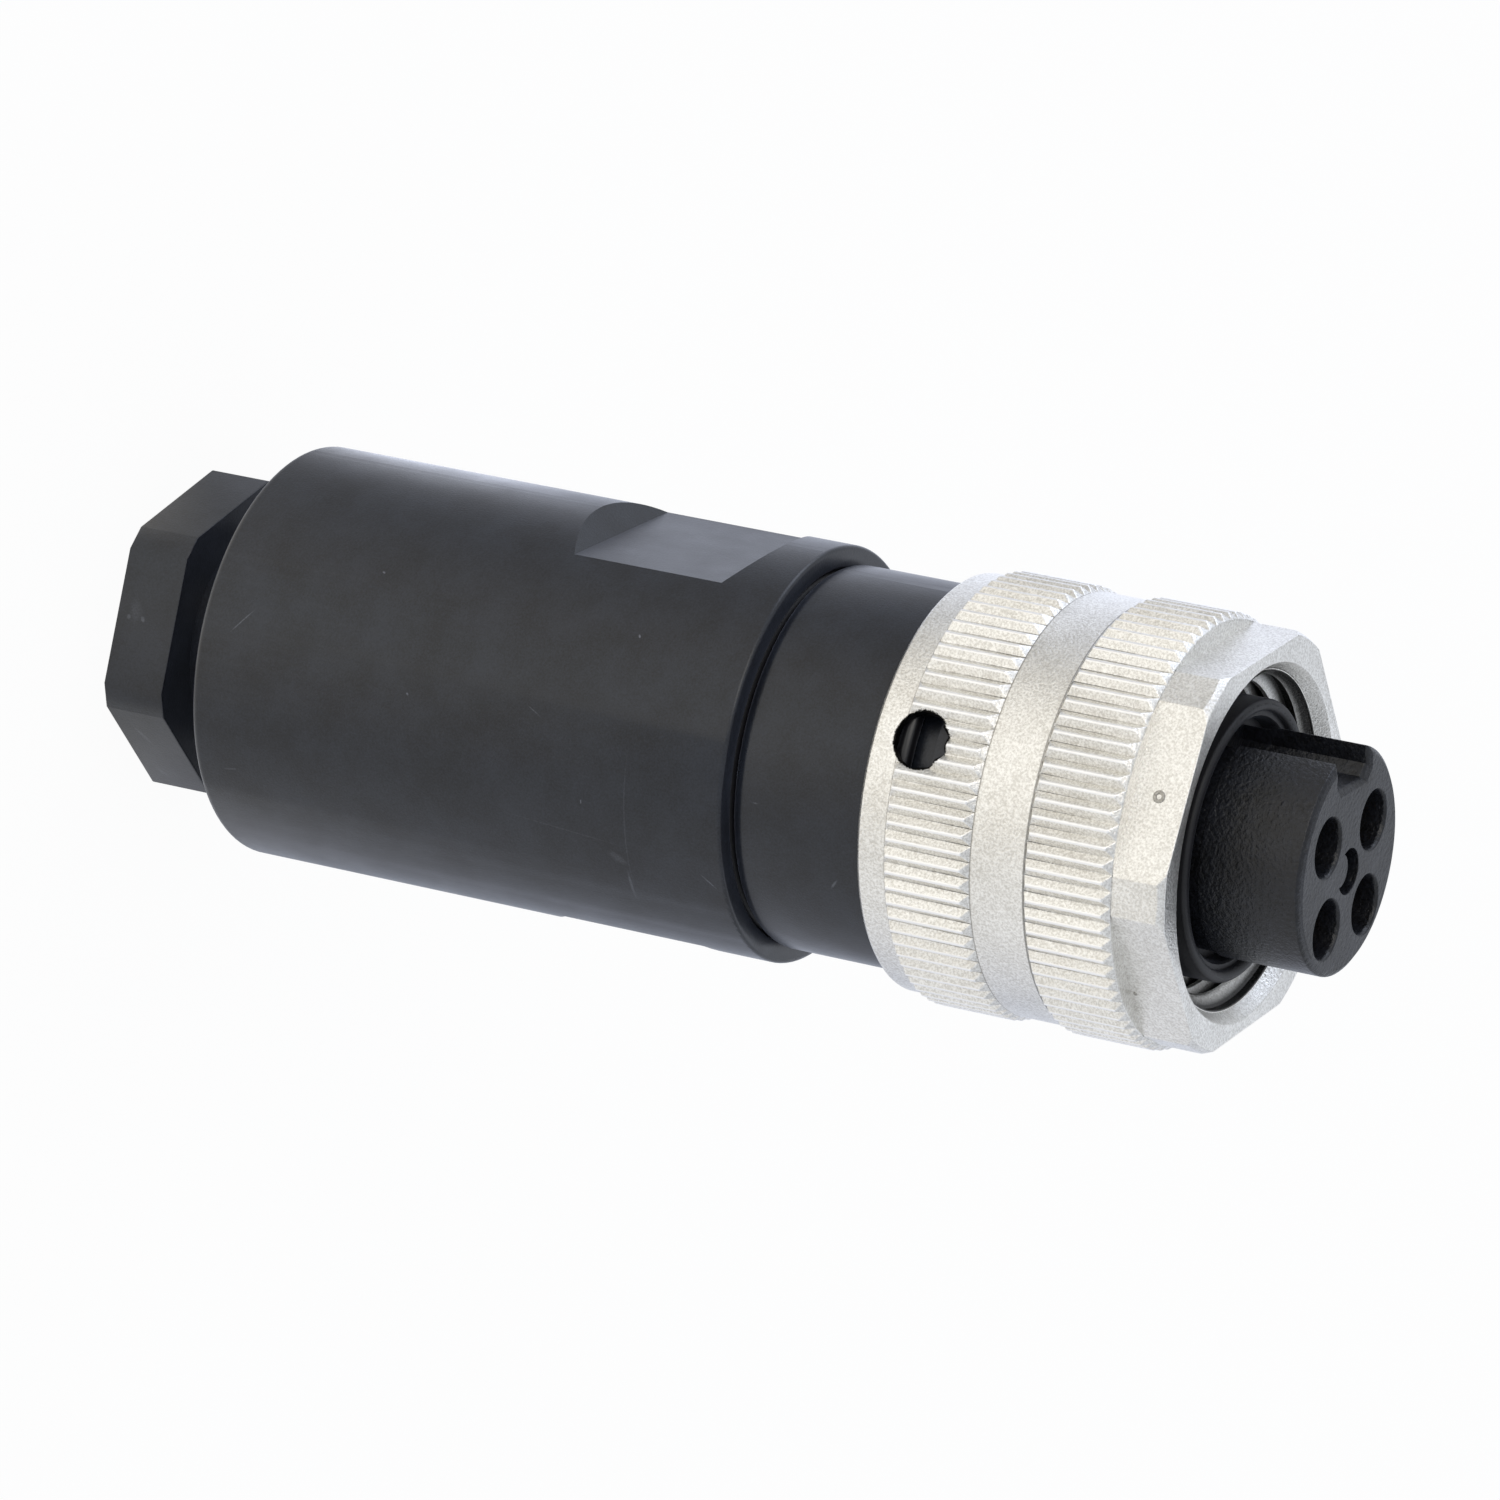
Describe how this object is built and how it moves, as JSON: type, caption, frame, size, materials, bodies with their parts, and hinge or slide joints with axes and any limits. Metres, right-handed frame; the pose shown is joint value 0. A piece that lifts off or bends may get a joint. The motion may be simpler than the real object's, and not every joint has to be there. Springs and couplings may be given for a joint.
{
  "type": "inline socket connector",
  "caption": "Straight inline circular socket connector with a knurled hexagonal coupling nut, a keyed insert, a black grip shell and a cable gland.",
  "frame": {"origin": "centre of the gland nut's rear face, on which the connector stands", "axes": "+Z along the connector's axis, from the cable gland to the insert's face"},
  "size_m": [0.0288, 0.0288, 0.0869],
  "materials": {
    "nickel_zinc": "satin nickel plate on a die casting",
    "black_polyamide": "moulded, matt with a faint sheen",
    "black_insulator": "moulded, fine spark-eroded grain",
    "black_acetal": "extruded, smooth",
    "grey_polyamide": "moulded, smooth",
    "black_rubber": "moulded, matt",
    "plated_brass": "turned and plated",
    "zinc_steel": "turned and zinc plated"
  },
  "bodies": {
    "gland_nut": {"gland_nut": "black_polyamide"},
    "thrust_washer": {"thrust_washer": "grey_polyamide"},
    "connector_body": {"cable_seal": "black_rubber", "clamp_cage": "grey_polyamide", "contact_insert": "black_insulator", "contact_sleeve": "black_polyamide", "front_seal": "black_rubber", "grip_shell": "black_polyamide", "insert_lock_ring": "black_insulator", "sleeve_o_ring": "black_rubber", "socket_contact_1": "plated_brass", "socket_contact_2": "plated_brass", "socket_contact_3": "plated_brass", "socket_contact_4": "plated_brass", "terminal_block": "black_insulator", "terminal_screw_1": "zinc_steel", "terminal_screw_2": "zinc_steel", "terminal_screw_3": "zinc_steel", "terminal_screw_4": "zinc_steel"},
    "retaining_ring": {"retaining_ring": "black_acetal"},
    "coupling_nut": {"coupling_nut": "nickel_zinc"}
  },
  "joints": [
    {"name": "gland_turn", "type": "hinge", "parent": "gland_nut", "child": "thrust_washer", "pos_m": [0, 0, 0], "axis": [0, 0, -1], "range_deg": [-1080, 720]},
    {"name": "gland_travel", "type": "slide", "parent": "thrust_washer", "child": "connector_body", "axis": [0, 0, -1], "range_m": [-0.0045, 0.003]},
    {"name": "nut_float", "type": "slide", "parent": "connector_body", "child": "retaining_ring", "axis": [0, 0, 1], "range_m": [0, 0.0013]},
    {"name": "coupling_turn", "type": "hinge", "parent": "retaining_ring", "child": "coupling_nut", "pos_m": [0, 0, 0.06946], "axis": [0, 0, 1], "continuous": true}
  ],
  "couplings": [
    {"joint": "gland_turn", "follows": "gland_travel", "rad_per_m": 4188.8}
  ]
}
